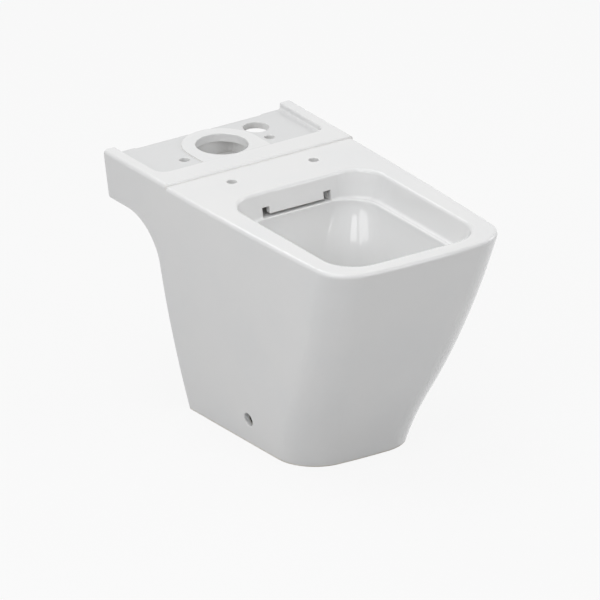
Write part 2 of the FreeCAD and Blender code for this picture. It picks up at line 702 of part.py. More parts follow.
def floor_bracket(side):
    face = bracket_face()
    y = REAR_Y - SIDE_HOLE_FROM_REAR

    def block(outer_x, inner_x, low_y, high_y, high):
        left = min(side * outer_x, side * inner_x)
        return Part.makeBox(outer_x - inner_x, high_y - low_y, high, Vector(left, y + low_y, 0))

    upright = block(face, face - BRACKET_UPRIGHT, -BRACKET_HALF_WIDTH, BRACKET_HALF_WIDTH, BRACKET_HEIGHT)
    top = edges_at_height(upright, BRACKET_HEIGHT)
    upright = upright.makeFillet(BRACKET_EDGE_R, top)
    inner = face - BRACKET_UPRIGHT
    base = block(inner, inner - BRACKET_REACH, -BRACKET_HALF_WIDTH, BRACKET_HALF_WIDTH, BRACKET_BASE)
    ends = [e for e in base.Edges if abs(abs(e.CenterOfMass.x) - (inner - BRACKET_REACH)) < NEAR
            and e.BoundBox.ZLength > BRACKET_BASE / 2.0]
    base = base.makeFillet(2 * BRACKET_EDGE_R, ends)
    shape = upright.fuse(base)
    for low_y in (-BRACKET_HALF_WIDTH, BRACKET_HALF_WIDTH - BRACKET_RIB):
        corners = [(inner, BRACKET_BASE), (inner - BRACKET_REACH + 2 * BRACKET_EDGE_R, BRACKET_BASE),
                   (inner, BRACKET_HEIGHT - 2 * BRACKET_EDGE_R)]
        points = [Vector(side * x, y + low_y, z) for x, z in corners]
        rib = Part.Face(Part.makePolygon(points + points[:1])).extrude(Vector(0, BRACKET_RIB, 0))
        shape = shape.fuse(rib)
    for offset in (-FLOOR_HOLE_SPACING / 2.0, FLOOR_HOLE_SPACING / 2.0):
        spot = Vector(side * (inner - FLOOR_HOLE_INSET), y + offset, -OVERCUT)
        shape = shape.cut(Part.makeCylinder(FLOOR_HOLE_R, BRACKET_BASE + 2 * OVERCUT, spot))
    shape = shape.cut(rod(side, face + OVERCUT, inner - OVERCUT, SCREW_R + SCREW_CLEARANCE))
    pocket_flats = NUT_FLATS + 2 * NUT_CLEARANCE
    pocket = hexagon(pocket_flats, NUT_HEIGHT + OVERCUT, on_axis(side, inner + NUT_HEIGHT), side)
    return shape.cut(pocket).removeSplitter()


def locking_dowel(side):
    end, face = dowel_end(), bracket_face()
    shape = rod(side, end, face, SIDE_HOLE_R - DOWEL_CLEARANCE)
    shape = shape.cut(rod(side, end + OVERCUT, head_seat(), WASHER_R + SCREW_CLEARANCE))
    return shape.cut(rod(side, end, face - OVERCUT, SCREW_R + SCREW_CLEARANCE))


def dowel_screw(side):
    under_head = head_seat() + WASHER_THICKNESS
    shape = rod(side, dowel_end(), under_head, SCREW_HEAD_R)
    shape = shape.fuse(rod(side, under_head, under_head - SCREW_LENGTH, SCREW_R))
    mouth = on_axis(side, dowel_end() + OVERCUT)
    socket = hexagon(SCREW_SOCKET_FLATS, SCREW_SOCKET_DEPTH + OVERCUT, mouth, side)
    return shape.cut(socket).removeSplitter()


def screw_washer(side):
    seat, top = head_seat(), head_seat() + WASHER_THICKNESS
    disc = rod(side, top, seat, WASHER_R)
    return disc.cut(rod(side, top + OVERCUT, seat - OVERCUT, SCREW_R + SCREW_CLEARANCE))


def bracket_nut(side):
    outer = bracket_face() - BRACKET_UPRIGHT + NUT_HEIGHT
    nut = hexagon(NUT_FLATS, NUT_HEIGHT, on_axis(side, outer), side)
    return nut.cut(rod(side, outer + OVERCUT, outer - NUT_HEIGHT - OVERCUT, SCREW_R + NUT_CLEARANCE))


def build():
    """Every piece of the pan by its node name."""
    body = body_loft(0.0)
    ring = ring_outer()
    basin = bowl_outer()
    pieces = {
        "rim_and_deck": rim_and_deck(body),
        "outer_skirt": outer_skirt(body),
        "flush_ring": flush_ring(ring),
        "bowl": bowl(basin),
        "trapway": trapway(basin),
        "outlet_spigot": outlet_spigot(),
        "flush_channel": flush_channel(ring),
    }
    for name, side in (("left", -1), ("right", 1)):
        pieces["floor_bracket_" + name] = floor_bracket(side)
        pieces["locking_dowel_" + name] = locking_dowel(side)
        pieces["dowel_screw_" + name] = dowel_screw(side)
        pieces["screw_washer_" + name] = screw_washer(side)
        pieces["bracket_nut_" + name] = bracket_nut(side)
    return pieces


def main():
    os.makedirs("parts", exist_ok=True)
    for name, shape in build().items():
        shape.exportStep(os.path.join("parts", name + ".step"))
        print(f"{name}: {len(shape.Solids)} solid, {shape.Volume / 1000.0:.1f} cm3, valid {shape.isValid()}")


main()
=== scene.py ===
"""The bare china pan of a floor-standing toilet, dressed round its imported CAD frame."""

import logging
import math
from dataclasses import dataclass
from enum import Enum
from typing import Any, Callable, Optional, Sequence, Union

import bmesh
import bpy
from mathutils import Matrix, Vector


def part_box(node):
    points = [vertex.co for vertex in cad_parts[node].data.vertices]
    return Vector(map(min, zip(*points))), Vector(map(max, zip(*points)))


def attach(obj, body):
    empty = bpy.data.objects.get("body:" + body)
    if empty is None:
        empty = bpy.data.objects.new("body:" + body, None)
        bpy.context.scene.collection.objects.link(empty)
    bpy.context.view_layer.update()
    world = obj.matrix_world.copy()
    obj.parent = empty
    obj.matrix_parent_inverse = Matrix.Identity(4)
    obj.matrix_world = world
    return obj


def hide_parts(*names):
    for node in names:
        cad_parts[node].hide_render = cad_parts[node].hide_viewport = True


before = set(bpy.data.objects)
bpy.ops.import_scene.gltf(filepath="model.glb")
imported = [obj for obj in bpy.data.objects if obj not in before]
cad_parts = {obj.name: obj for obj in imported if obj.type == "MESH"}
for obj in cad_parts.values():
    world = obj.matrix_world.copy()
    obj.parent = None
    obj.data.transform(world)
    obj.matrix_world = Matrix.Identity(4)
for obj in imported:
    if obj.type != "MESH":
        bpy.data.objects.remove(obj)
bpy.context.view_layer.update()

LOG = logging.getLogger("toilet_pan")
BODY = "root"
MM = 0.001
HEXAGON = 6

Number = Union["Signal", float]
Key = Union[int, str]
Colour = tuple[float, float, float]
Tint = Union["Signal", Colour]
Spot = tuple[float, float, float]
Span = tuple[float, float]
Section = Sequence[tuple[float, float]]
Piece = bpy.types.Object


# Shader tools


class Signal:
    """A value that varies over a surface, written in plain arithmetic."""

    def __init__(self, sheet: "ShaderSheet", node: bpy.types.Node, output: Key) -> None:
        """Hold one output of a node.

        Args:
            sheet: The sheet that the node is on.
            node: The node.
            output: The output's name or number.
        """
        self.sheet = sheet
        self.node = node
        self.socket = node.outputs[output] if node.outputs else None

    def out(self, output: Key) -> "Signal":
        """Another output of the same node."""
        return Signal(self.sheet, self.node, output)

    def __add__(self, other: Number) -> "Signal":
        """This plus the other."""
        return self.sheet.maths("ADD", self, other)

    def __radd__(self, other: Number) -> "Signal":
        """The other plus this."""
        return self.sheet.maths("ADD", other, self)

    def __sub__(self, other: Number) -> "Signal":
        """This less the other."""
        return self.sheet.maths("SUBTRACT", self, other)

    def __rsub__(self, other: Number) -> "Signal":
        """The other less this."""
        return self.sheet.maths("SUBTRACT", other, self)

    def __mul__(self, other: Number) -> "Signal":
        """This times the other."""
        return self.sheet.maths("MULTIPLY", self, other)

    def __rmul__(self, other: Number) -> "Signal":
        """The other times this."""
        return self.sheet.maths("MULTIPLY", other, self)

    def __pow__(self, other: Number) -> "Signal":
        """This to the power of the other."""
        return self.sheet.maths("POWER", self, other)

    def __gt__(self, other: Number) -> "Signal":
        """One where this is the greater."""
        return self.sheet.maths("GREATER_THAN", self, other)

    def __lt__(self, other: Number) -> "Signal":
        """One where this is the smaller."""
        return self.sheet.maths("LESS_THAN", self, other)


class ShaderSheet:
    """The nodes of one material or of the world."""

    MIDDLE = 0.5
    BEVEL_SAMPLES = 6
    EDGE_SPAN: Span = (0.0, 0.25)

    def __init__(self, owner: Union[bpy.types.Material, bpy.types.World]) -> None:
        """Start with an empty node tree.

        Args:
            owner: The material or the world that the nodes belong to.
        """
        owner.use_nodes = True
        self.tree = owner.node_tree
        self.tree.nodes.clear()

    def add(
        self,
        kind: str,
        settings: Optional[dict[str, Any]] = None,
        inputs: Optional[dict[Key, Any]] = None,
        output: Key = 0,
    ) -> Signal:
        """Add a node of any type.

        Args:
            kind: The node's type.
            settings: Its own settings, which are set first.
            inputs: The values or links of its sockets, by name or number.
            output: The output to return.

        Returns:
            That output, as a signal.
        """
        node = self.tree.nodes.new(kind)
        for name, value in (settings or {}).items():
            setattr(node, name, value)
        for name, value in (inputs or {}).items():
            if isinstance(value, Signal):
                self.tree.links.new(value.socket, node.inputs[name])
            else:
                node.inputs[name].default_value = value
        return Signal(self, node, output)

    def maths(self, operation: str, first: Number, second: Number) -> Signal:
        """One Math node on two values."""
        return self.add("ShaderNodeMath", {"operation": operation}, {0: first, 1: second})

    def highest(self, first: Number, second: Number) -> Signal:
        """The larger of two values."""
        return self.maths("MAXIMUM", first, second)

    def distance(self, first: Signal, second: Signal) -> Signal:
        """How far two steps at right angles lead."""
        return (first * first + second * second) ** 0.5

    def place(self) -> Signal:
        """The point on the object, in metres."""
        return self.add("ShaderNodeTexCoord", output="Object")

    def facing(self) -> Signal:
        """The direction that the surface faces, in the object's own axes."""
        return self.add("ShaderNodeTexCoord", output="Normal")

    def axes(self, vector: Signal) -> tuple[Signal, Signal, Signal]:
        """The three parts of a vector."""
        parts = self.add("ShaderNodeSeparateXYZ", inputs={0: vector})
        return parts, parts.out(1), parts.out(2)

    def step(self, value: Number, span: Span) -> Signal:
        """A soft step, from 0 where the span starts to 1 where it ends."""
        inputs = {0: value, 1: span[0], 2: span[1], 3: 0.0, 4: 1.0}
        return self.add("ShaderNodeMapRange", {"interpolation_type": "SMOOTHSTEP"}, inputs)

    def noise(self, scale: float, detail: float = 2.0, stretch: Spot = (1.0, 1.0, 1.0)) -> Signal:
        """Soft noise about its middle.

        Args:
            scale: Its bumps to the metre.
            detail: How many finer layers it has.
            stretch: How much closer the bumps lie along each axis.

        Returns:
            The noise.
        """
        spread = self.add("ShaderNodeMapping", inputs={"Vector": self.place(), "Scale": stretch})
        inputs = {"Vector": spread, "Scale": scale, "Detail": detail}
        return self.add("ShaderNodeTexNoise", inputs=inputs)

    def blend(self, share: Number, first: Tint, second: Tint) -> Signal:
        """A mix of two colours.

        Args:
            share: How much of the second colour there is, from 0 to 1.
            first: The colour where the share is 0.
            second: The colour where the share is 1.

        Returns:
            The mixed colour.
        """
        ends = [end if isinstance(end, Signal) else (*end, 1.0) for end in (first, second)]
        settings = {"data_type": "RGBA", "clamp_factor": True}
        return self.add("ShaderNodeMix", settings, {0: share, 6: ends[0], 7: ends[1]}, 2)

    def relief(self, height: Signal, facing: Optional[Signal] = None) -> Signal:
        """The normal of a surface with relief.

        Args:
            height: How far it stands above its mesh, in metres.
            facing: The normal without the relief, if that isn't the mesh's own.

        Returns:
            The normal.
        """
        inputs = {"Strength": 1.0, "Distance": 1.0, "Height": height}
        if facing:
            inputs["Normal"] = facing
        return self.add("ShaderNodeBump", inputs=inputs)

    def rounded(self, radius: float) -> Signal:
        """The normal that the surface would have with its edges rounded."""
        return self.add("ShaderNodeBevel", {"samples": self.BEVEL_SAMPLES}, {"Radius": radius})

    def true_normal(self) -> Signal:
        """The mesh's own normal."""
        return self.add("ShaderNodeNewGeometry", output="Normal")

    def edges(self, radius: float) -> Signal:
        """How near the surface is to an edge.

        Args:
            radius: How far the edge is felt.

        Returns:
            From 0 on the flat to about 1 on a sharp edge.
        """
        ends = {0: self.rounded(radius), 1: self.true_normal()}
        along = self.add("ShaderNodeVectorMath", {"operation": "DOT_PRODUCT"}, ends, "Value")
        return self.step(1.0 - along, self.EDGE_SPAN)

    def turn(self, share: Signal, first: Signal, second: Signal) -> Signal:
        """A direction that goes from the first to the second as the share goes from 0 to 1."""
        between = self.add("ShaderNodeMix", {"data_type": "VECTOR"}, {0: share, 4: first, 5: second}, 1)
        return self.add("ShaderNodeVectorMath", {"operation": "NORMALIZE"}, {0: between})

    def surface(self, shader: Signal) -> None:
        """Make this shader the surface."""
        self.add("ShaderNodeOutputMaterial", inputs={"Surface": shader})

    def principled(self, inputs: dict[Key, Any]) -> None:
        """Make a Principled shader with these inputs the surface."""
        self.surface(self.add("ShaderNodeBsdfPrincipled", inputs=inputs))


# Finishes


class Glazing(Enum):
    """Which faces of a casting carry the glaze."""

    ABOVE = "above"
    OUTSIDE = "outside"
    INSIDE = "inside"
    BORE = "bore"
    TROUGH = "trough"


@dataclass(frozen=True)
class GlazedChina:
    """White vitreous china under a clear gloss glaze, and bare where none was sprayed.

    A span says where a soft step starts and where it ends.
    """

    # Colours, and how strongly they show
    white: Colour = (0.81, 0.81, 0.807)
    pooled: Colour = (0.772, 0.78, 0.786)
    # Painted shade: a darker grey for the floor of the cistern's recess, standing in for its shade
    recess_shade: Colour = (0.705, 0.709, 0.711)
    thin: Colour = (0.79, 0.775, 0.745)
    cream: Colour = (0.74, 0.71, 0.65)
    dust: Colour = (0.64, 0.60, 0.535)
    speck: Colour = (0.50, 0.47, 0.43)
    pooled_share: float = 0.5
    thin_share: float = 0.75
    speck_share: float = 0.55
    cloud_span: Span = (0.35, 0.7)
    dust_span: Span = (0.5, 0.95)
    grit_in_dust: float = 0.35
    speck_size: float = 0.016
    speck_luck: float = 0.93

    # Roughness, index of refraction and heights of the relief
    gloss: float = 0.07
    smear: float = 0.045
    matt: float = 0.86
    index: float = 1.5
    wave: float = 0.00022
    peel: float = 0.000012
    grain: float = 0.00005
    lump: float = 0.0005

    # How far from an edge the glaze is thin, and how far the edge is rounded
    thin_r: float = 0.004
    edge_r: float = 0.0015

    # Bumps to the metre
    cloud_scale: float = 7.0
    wave_scale: float = 9.0
    dust_scale: float = 16.0
    smear_scale: float = 24.0
    speck_scale: float = 52.0
    ragged_scale: float = 55.0
    lump_scale: float = 60.0
    peel_scale: float = 210.0
    grit_scale: float = 900.0

    # Where the glaze starts and ends
    ragged: float = 0.05
    level_share: float = 0.05
    underside_span: Span = (-0.6, -0.3)
    rear_span: Span = (0.296, 0.30)
    axis_y: float = -0.06
    shell_span: Span = (-0.012, -0.006)
    sprayed_span: Span = (0.135, 0.142)
    wiped_span: Span = (0.0022, 0.0028)
    wiped_ragged: float = 0.03
    side_hole: tuple[float, float] = (-0.00335, 0.045)
    side_hole_r: float = 0.0128
    side_hole_x: float = 0.1135
    basin_span: Span = (-0.006, 0.0)
    shelf_span: Span = (0.3565, 0.3575)
    spigot_z: float = 0.18
    bore_r: float = 0.0395
    bore_turn: float = -0.002
    throat_span: Span = (-0.01, -0.015)
    trough_y: float = 0.18
    trough_span: Span = (0.0, 0.006)

    # The floor of the cistern's recess, which is painted darker as shade, and the flush ring's joints
    recess_shade_span: Span = (0.3952, 0.3936)
    level_span: Span = (0.3, 0.8)
    joints_z: tuple[float, float] = (0.382, 0.347)
    joint_span: Span = (0.003, 0.005)

    def material(self, name: str, glazing: Glazing) -> bpy.types.Material:
        """Make the material of one casting.

        Args:
            name: The material's name.
            glazing: Which of the casting's faces are glazed.

        Returns:
            The material.
        """
        material = bpy.data.materials.new(name)
        sheet = ShaderSheet(material)
        cover = self.cover(sheet, glazing)
        off_joint = self.off_joint(sheet)
        grit = sheet.noise(self.grit_scale, detail=3.0)
        bare = self.bare_colour(sheet, grit)
        glaze = self.glaze_colour(sheet, glazing, off_joint)
        smear = sheet.noise(self.smear_scale, detail=4.0) * self.smear
        waves = sheet.noise(self.wave_scale, detail=1.0) * self.wave
        peel = sheet.noise(self.peel_scale) * self.peel
        lumps = grit * self.grain + sheet.noise(self.lump_scale, detail=4.0) * self.lump
        height = waves + peel + (1.0 - cover) * lumps
        facing = sheet.turn(off_joint, sheet.true_normal(), sheet.rounded(self.edge_r))
        inputs = {
            "Base Color": sheet.blend(cover, bare, glaze),
            "Roughness": self.matt + cover * (self.gloss - self.matt + smear),
            "IOR": self.index,
            "Normal": sheet.relief(height, facing),
        }
        sheet.principled(inputs)
        return material

    def cover(self, sheet: ShaderSheet, glazing: Glazing) -> Signal:
        """Where the glaze is.

        Args:
            sheet: The sheet to write on.
            glazing: Which faces carry it.

        Returns:
            One on the glaze and 0 on the bare china, with an uneven line between them.
        """
        x, y, z = sheet.axes(sheet.place())
        facing_x, _, facing_z = sheet.axes(sheet.facing())
        ragged = (sheet.noise(self.ragged_scale, detail=3.0) - sheet.MIDDLE) * self.ragged
        if glazing is Glazing.ABOVE:
            upper = sheet.step(facing_z, self.underside_span)
            return sheet.highest(upper, sheet.step(y + ragged, self.rear_span))
        if glazing is Glazing.OUTSIDE:
            shell = sheet.step(self.outward(sheet, self.axis_y), self.shell_span)
            sprayed = sheet.step(y + ragged, self.sprayed_span)
            hole_y, hole_z = self.side_hole
            hole = sheet.distance(y - hole_y, z - hole_z) < self.side_hole_r
            hole = hole * (x * x > self.side_hole_x * self.side_hole_x)
            wiped = sheet.step(z + ragged * self.wiped_ragged, self.wiped_span)
            return sheet.highest(sheet.highest(shell, sprayed), hole) * wiped
        if glazing is Glazing.INSIDE:
            inward = facing_z * self.level_share - self.outward(sheet, self.axis_y)
            return sheet.highest(sheet.step(inward, self.basin_span), sheet.step(z, self.shelf_span))
        if glazing is Glazing.BORE:
            bore = sheet.distance(x, z - self.spigot_z) < self.bore_r
            bore = sheet.highest(bore, facing_x * x < self.bore_turn)
            return sheet.highest(bore, sheet.step(y + ragged, self.throat_span))
        inward = facing_z * self.level_share - self.outward(sheet, self.trough_y)
        return sheet.step(inward, self.trough_span)

    @staticmethod
    def outward(sheet: ShaderSheet, middle_y: float) -> Signal:
        """How much a surface faces away from an upright line.

        Args:
            sheet: The sheet to write on.
            middle_y: The line's y. Its x is 0.

        Returns:
            More than 0 where the surface faces away, and less than 0 where it faces the line.
        """
        x, y, _ = sheet.axes(sheet.place())
        facing_x, facing_y, _ = sheet.axes(sheet.facing())
        return facing_x * x + facing_y * (y - middle_y)

    def bare_colour(self, sheet: ShaderSheet, grit: Signal) -> Signal:
        """The colour of the bare china, which is dusty in places."""
        dusty = sheet.noise(self.dust_scale, detail=5.0) + grit * self.grit_in_dust
        return sheet.blend(sheet.step(dusty, self.dust_span), self.cream, self.dust)

    def glaze_colour(self, sheet: ShaderSheet, glazing: Glazing, off_joint: Signal) -> Signal:
        """The colour of the glaze, pooled in places, thin on the edges, with painted shade on the floor
        of the cistern's recess, and with a few specks.

        Args:
            sheet: The sheet to write on.
            glazing: Which of the casting's faces are glazed.
            off_joint: One away from the slip joints, whose edges don't count.

        Returns:
            The colour.
        """
        clouds = sheet.step(sheet.noise(self.cloud_scale, detail=3.0), self.cloud_span)
        edge = sheet.edges(self.thin_r) * off_joint
        inputs = {"Vector": sheet.place(), "Scale": self.speck_scale}
        cells = sheet.add("ShaderNodeTexVoronoi", inputs=inputs)
        lucky = sheet.add("ShaderNodeSeparateColor", inputs={0: cells.out("Color")})
        specks = (cells < self.speck_size) * (lucky > self.speck_luck)
        glaze = sheet.blend(clouds * self.pooled_share, self.white, self.pooled)
        # Painted shade: the floor of the cistern's recess is made darker
        if glazing is Glazing.ABOVE:
            glaze = sheet.blend(self.recess_shade_mask(sheet), glaze, self.recess_shade)
        glaze = sheet.blend(edge * self.thin_share, glaze, self.thin)
        return sheet.blend(specks * self.speck_share, glaze, self.speck)

    def recess_shade_mask(self, sheet: ShaderSheet) -> Signal:
        """Where shade is painted into the glaze, on the floor of the cistern's recess.

        Args:
            sheet: The sheet to write on.

        Returns:
            One on the floor of the cistern's recess.
        """
        z = sheet.axes(sheet.place())[2]
        facing_z = sheet.axes(sheet.facing())[2]
        return sheet.step(z, self.recess_shade_span) * sheet.step(facing_z, self.level_span)

    def off_joint(self, sheet: ShaderSheet) -> Signal:
        """Where no slip joint of the flush ring is near. They were rubbed flush before the glaze.

        Args:
            sheet: The sheet to write on.

        Returns:
            One away from the joints and 0 at them.
        """
        z = sheet.axes(sheet.place())[2]
        near, far = self.joint_span
        away = []
        for joint in self.joints_z:
            above = sheet.step(z, (joint + near, joint + far))
            below = sheet.step(z, (joint - near, joint - far))
            away.append(sheet.highest(above, below))
        return away[0] * away[1]


@dataclass(frozen=True)
class MouldedNylon:
    """Glass-filled nylon with the fine spark texture of its mould."""

    tone: Colour
    flow: Colour
    rub: Colour
    roughness: float = 0.55
    texture: float = 0.00004
    spark_scale: float = 1600.0
    spark_rough: float = 0.25
    streak_scale: float = 60.0
    streak_stretch: Spot = (1.0, 1.0, 0.25)
    streak_span: Span = (0.35, 0.75)
    streak_share: float = 0.8
    streak_gloss: float = 0.08
    rub_r: float = 0.0012
    rub_share: float = 0.7

    def material(self, name: str) -> bpy.types.Material:
        """Make the material.

        Args:
            name: The material's name.

        Returns:
            The material.
        """
        material = bpy.data.materials.new(name)
        sheet = ShaderSheet(material)
        streaks = sheet.noise(self.streak_scale, detail=4.0, stretch=self.streak_stretch)
        streaks = sheet.step(streaks, self.streak_span)
        colour = sheet.blend(streaks * self.streak_share, self.tone, self.flow)
        colour = sheet.blend(sheet.edges(self.rub_r) * self.rub_share, colour, self.rub)
        spark = sheet.noise(self.spark_scale)
        uneven = (spark - sheet.MIDDLE) * self.spark_rough
        inputs = {
            "Base Color": colour,
            "Roughness": self.roughness + uneven - streaks * self.streak_gloss,
            "Normal": sheet.relief(spark * self.texture),
        }
        sheet.principled(inputs)
        return material


@dataclass(frozen=True)
class ZincPlate:
    """Bright zinc plate on steel, a little blue and worn at its edges."""

    tone: Colour = (0.66, 0.68, 0.70)
    blue: Colour = (0.56, 0.60, 0.66)
    worn: Colour = (0.74, 0.73, 0.71)
    roughness: float = 0.30
    texture: float = 0.000006
    fine_scale: float = 2600.0
    fine_rough: float = 0.22
    sheen_scale: float = 180.0
    sheen_span: Span = (0.35, 0.7)
    sheen_rough: float = 0.08
    worn_r: float = 0.0006
    worn_share: float = 0.8

    def material(self, name: str) -> bpy.types.Material:
        """Make the material.

        Args:
            name: The material's name.

        Returns:
            The material.
        """
        material = bpy.data.materials.new(name)
        sheet = ShaderSheet(material)
        sheen = sheet.step(sheet.noise(self.sheen_scale, detail=3.0), self.sheen_span)
        colour = sheet.blend(sheen, self.tone, self.blue)
        colour = sheet.blend(sheet.edges(self.worn_r) * self.worn_share, colour, self.worn)
        fine = sheet.noise(self.fine_scale, detail=3.0)
        uneven = (fine - sheet.MIDDLE) * self.fine_rough
        inputs = {
            "Base Color": colour,
            "Metallic": 1.0,
            "Roughness": self.roughness + uneven + sheen * self.sheen_rough,
            "Normal": sheet.relief(fine * self.texture),
        }
        sheet.principled(inputs)
        return material


# Bench tools


class Bench:
    """Hand tools that shape one new mesh at a time."""

    FINE = 0.000001
    FLAT_ANGLE = math.radians(0.5)
    SMOOTH_ANGLE = math.radians(35.0)
    SHARP_ANGLE = math.radians(40.0)
    MODES = {"verts": "VERT", "edges": "EDGE", "faces": "FACE"}

    def take(self, piece: Piece) -> None:
        """Let go of everything else and take up one piece.

        Args:
            piece: The piece, which becomes the active one.
        """
        if bpy.context.mode != "OBJECT":
            bpy.ops.object.mode_set(mode="OBJECT")
        bpy.ops.object.select_all(action="DESELECT")
        piece.select_set(True)
        bpy.context.view_layer.objects.active = piece

    def settle(self, piece: Piece) -> None:
        """Put a piece's place, turn and scale into its mesh."""
        self.take(piece)
        bpy.ops.object.transform_apply(location=True, rotation=True, scale=True)

    def label(self, name: str) -> Piece:
        """Name the primitive that was just added, and put its place into its mesh.

        Args:
            name: The name of the piece and its mesh.

        Returns:
            The piece.
        """
        piece = bpy.context.object
        piece.name = name
        piece.data.name = name
        self.settle(piece)
        return piece

    def block(self, name: str, low: Spot, high: Spot) -> Piece:
        """A block between two corners.

        Args:
            name: The piece's name.
            low: The corner with the smallest coordinates.
            high: The corner across from it.

        Returns:
            The block.
        """
        middle = [(a + b) / 2.0 for a, b in zip(low, high)]
        sizes = [b - a for a, b in zip(low, high)]
        bpy.ops.object.select_all(action="DESELECT")
        bpy.ops.mesh.primitive_cube_add(size=1.0, location=middle, scale=sizes)
        return self.label(name)

    def bar(self, name: str, radius: float, low: float, high: float, sides: int) -> Piece:
        """A round or many-sided bar.

        Args:
            name: The piece's name.
            radius: The distance from its axis to its corners.
            low: The height of its lower end.
            high: The height of its upper end.
            sides: How many sides it has.

        Returns:
            The bar, upright on the Z axis.
        """
        middle = (0.0, 0.0, (low + high) / 2.0)
        sizes = {"vertices": sides, "radius": radius, "depth": high - low}
        bpy.ops.object.select_all(action="DESELECT")
        bpy.ops.mesh.primitive_cylinder_add(location=middle, **sizes)
        return self.label(name)

    def outline(self, name: str, points: Section, closed: bool) -> Piece:
        """A line of edges, drawn from a single vertex.

        Args:
            name: The piece's name.
            points: The distance from the Z axis and the height of each corner.
            closed: Whether the last corner joins the first.

        Returns:
            The line, in the XZ plane.
        """
        bpy.ops.object.select_all(action="DESELECT")
        bpy.ops.mesh.primitive_plane_add(size=1.0)
        piece = self.label(name)
        self.pick(piece, "verts")
        bpy.ops.mesh.merge(type="CENTER")
        last = (0.0, 0.0)
        for count, point in enumerate(points):
            move = (point[0] - last[0], 0.0, point[1] - last[1])
            if count == 0:
                bpy.ops.transform.translate(value=move)
            else:
                bpy.ops.mesh.extrude_region_move(TRANSFORM_OT_translate={"value": move})
            last = point
        if closed:
            ends = [Vector((across, 0.0, up)) for across, up in (points[0], points[-1])]
            self.pick(piece, "verts", lambda part: self.is_at(part, ends))
            bpy.ops.mesh.edge_face_add()
        bpy.ops.object.mode_set(mode="OBJECT")
        return piece

    def is_at(self, part: bmesh.types.BMVert, spots: Sequence[Vector]) -> bool:
        """Whether a vertex is at one of some spots."""
        return min((part.co - spot).length for spot in spots) < self.FINE

    def pick(
        self, piece: Piece, kind: str, test: Optional[Callable[[Any], bool]] = None
    ) -> None:
        """Select what passes a test.

        Args:
            piece: The piece, which goes into edit mode.
            kind: "verts", "edges" or "faces".
            test: Says yes to a vertex, an edge or a face. Without it all are selected.
        """
        self.take(piece)
        bpy.ops.object.mode_set(mode="EDIT")
        bpy.ops.mesh.select_mode(type=self.MODES[kind])
        bpy.ops.mesh.select_all(action="DESELECT")
        shape = bmesh.from_edit_mesh(piece.data)
        for part in getattr(shape, kind):
            if test is None or test(part):
                part.select_set(True)
        shape.select_flush_mode()
        bmesh.update_edit_mesh(piece.data)

    def close(self, piece: Piece) -> None:
        """Merge a shape's doubled vertices and face it outwards.

        Args:
            piece: The shape.
        """
        self.pick(piece, "verts")
        bpy.ops.mesh.remove_doubles(threshold=self.FINE)
        bpy.ops.mesh.normals_make_consistent(inside=False)
        bpy.ops.object.mode_set(mode="OBJECT")

    def clean(self, piece: Piece) -> None:
        """Take away the slivers that cutting left, and join the faces that lie flat side by side.

        Args:
            piece: The piece that was cut.
        """
        self.close(piece)
        self.pick(piece, "verts")
        bpy.ops.mesh.dissolve_degenerate(threshold=self.FINE)
        bpy.ops.mesh.dissolve_limited(angle_limit=self.FLAT_ANGLE)
        bpy.ops.object.mode_set(mode="OBJECT")

    def turned(self, name: str, points: Section, closed: bool, steps: int) -> Piece:
        """A shape turned on a lathe.

        Args:
            name: The piece's name.
            points: The corners of its section, from the axis and up.
            closed: Whether the section is a ring's, which doesn't reach the axis.
            steps: How many flats it has round.

        Returns:
            The closed shape.
        """
        piece = self.outline(name, points, closed)
        self.pick(piece, "verts")
        bpy.ops.mesh.spin(steps=steps, angle=math.tau, center=(0.0, 0.0, 0.0), axis=(0.0, 0.0, 1.0))
        bpy.ops.object.mode_set(mode="OBJECT")
        self.close(piece)
        return piece

    def slice(self, piece: Piece, spot: Spot, outward: Spot) -> None:
        """Cut away all that lies beyond a plane, and close the cut.

        Args:
            piece: The piece to cut.
            spot: A point on the plane.
            outward: The direction of what is cut away.
        """
        self.pick(piece, "faces")
        cut = {"plane_co": spot, "plane_no": outward, "threshold": self.FINE}
        bpy.ops.mesh.bisect(use_fill=True, clear_outer=True, **cut)
        bpy.ops.object.mode_set(mode="OBJECT")

    def alter(self, piece: Piece, kind: str, settings: dict[str, Any]) -> None:
        """Put a modifier on a piece and apply it.

        Args:
            piece: The piece.
            kind: The modifier's type.
            settings: Its settings.
        """
        self.take(piece)
        modifier = piece.modifiers.new(kind.lower(), kind)
        for name, value in settings.items():
            setattr(modifier, name, value)
        bpy.ops.object.modifier_apply(modifier=modifier.name)

    def combine(self, piece: Piece, tool: Piece, way: str) -> None:
        """Join a tool to a piece, cut it out, or keep what they share.

        Args:
            piece: The piece that stays.
            tool: The solid that is used up.
            way: "UNION", "DIFFERENCE" or "INTERSECT".
        """
        self.alter(piece, "BOOLEAN", {"operation": way, "solver": "EXACT", "object": tool})
        bpy.data.objects.remove(tool, do_unlink=True)

    def soften(self, piece: Piece, width: float, segments: int) -> None:
        """Round all the sharp edges.

        Args:
            piece: The piece.
            width: How far from the edge the rounding starts.
            segments: How many flats it has.
        """
        settings = {
            "width": width,
            "segments": segments,
            "use_clamp_overlap": False,
            "limit_method": "ANGLE",
            "angle_limit": self.SHARP_ANGLE,
        }
        self.alter(piece, "BEVEL", settings)

    def lay(self, piece: Piece, spot: Spot) -> None:
        """Lay an upright piece along +X.

        Args:
            piece: The piece.
            spot: Where its own origin goes.
        """
        piece.rotation_euler = (0.0, math.pi / 2.0, 0.0)
        piece.location = spot
        self.settle(piece)

    def smooth(self, piece: Piece) -> None:
        """Shade the round faces smooth, and keep the corners crisp and the flats flat.

        Args:
            piece: The piece.
        """
        self.take(piece)
        bpy.ops.object.shade_smooth_by_angle(angle=self.SMOOTH_ANGLE)
        self.alter(piece, "WEIGHTED_NORMAL", {"keep_sharp": True})


# Studio


@dataclass(frozen=True)
class Lamp:
    """A soft box that faces a point near the middle of the pan."""

    name: str
    spot: Spot
    width: float
    height: float
    watts: float


